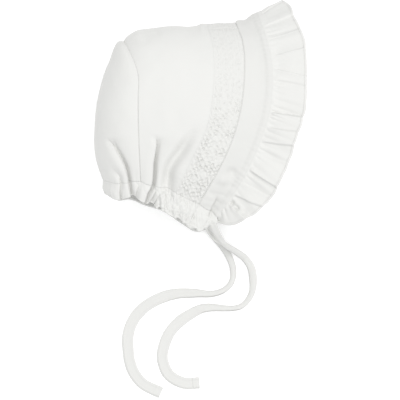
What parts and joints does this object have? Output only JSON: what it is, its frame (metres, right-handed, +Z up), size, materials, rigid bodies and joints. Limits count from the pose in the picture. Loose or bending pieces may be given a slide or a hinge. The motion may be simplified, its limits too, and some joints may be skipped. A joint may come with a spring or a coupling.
{
  "type": "smocked bonnet",
  "caption": "Baby's white jersey bonnet with smocking, face ruffle, ruched neck casing and two ties, lying on its side.",
  "frame": {"origin": "on the surface that the bonnet lies on, under the middle of its box without the ties", "axes": "+Z up from the surface through the bonnet's sides, +Y from the neck to the crown, +X from the back of the head to the face"},
  "size_m": [0.1691, 0.3201, 0.0845],
  "materials": {
    "jersey": "matt cotton jersey, white",
    "smocked_jersey": "matt cotton jersey drawn up in small diamonds",
    "tie_jersey": "matt cotton jersey sewn into flat tubes"
  },
  "bodies": {
    "root": {"crown_panel": "jersey", "back_panel": "jersey", "smocked_band": "smocked_jersey", "front_band": "jersey", "ruffle": "jersey", "neck_casing": "jersey", "tie_near": "tie_jersey", "tie_far": "tie_jersey"}
  },
  "joints": []
}
